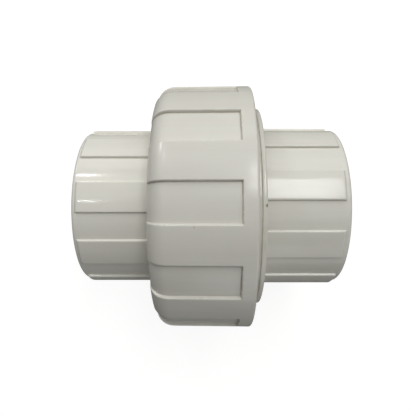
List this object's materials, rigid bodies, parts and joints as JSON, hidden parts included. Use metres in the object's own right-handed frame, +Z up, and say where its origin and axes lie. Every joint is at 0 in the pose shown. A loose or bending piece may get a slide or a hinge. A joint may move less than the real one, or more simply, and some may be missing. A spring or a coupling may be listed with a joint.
{
  "type": "pipe union",
  "caption": "White plastic pipe union: a ribbed tail piece and a threaded ribbed body, each with a solvent-weld pipe socket, drawn face to face by a large ribbed union nut over an O-ring.",
  "frame": {"origin": "on the pipe axis, midway between the two hub end faces", "axes": "+X along the pipe axis from the tail piece to the threaded body, +Z up"},
  "size_m": [0.117, 0.115, 0.1152],
  "materials": {
    "body_pvc": "moulded white PVC, satin gloss",
    "tail_pvc": "moulded white PVC, satin gloss",
    "nut_pvc": "moulded white PVC, satin gloss",
    "seal_rubber": "black EPDM rubber"
  },
  "bodies": {
    "threaded_body": {"threaded_body": "body_pvc", "o_ring": "seal_rubber"},
    "tail_piece": {"tail_piece": "tail_pvc"},
    "union_nut": {"union_nut": "nut_pvc"}
  },
  "joints": [
    {"name": "tail_slide", "type": "slide", "parent": "threaded_body", "child": "tail_piece", "axis": [-1, 0, 0], "range_m": [0, 0.024]},
    {"name": "nut_turn", "type": "hinge", "parent": "tail_piece", "child": "union_nut", "pos_m": [0, 0, 0], "axis": [-1, 0, 0], "range_deg": [0, 1440]}
  ],
  "couplings": [
    {"joint": "tail_slide", "follows": "nut_turn", "m_per_rad": 0.00095493}
  ]
}
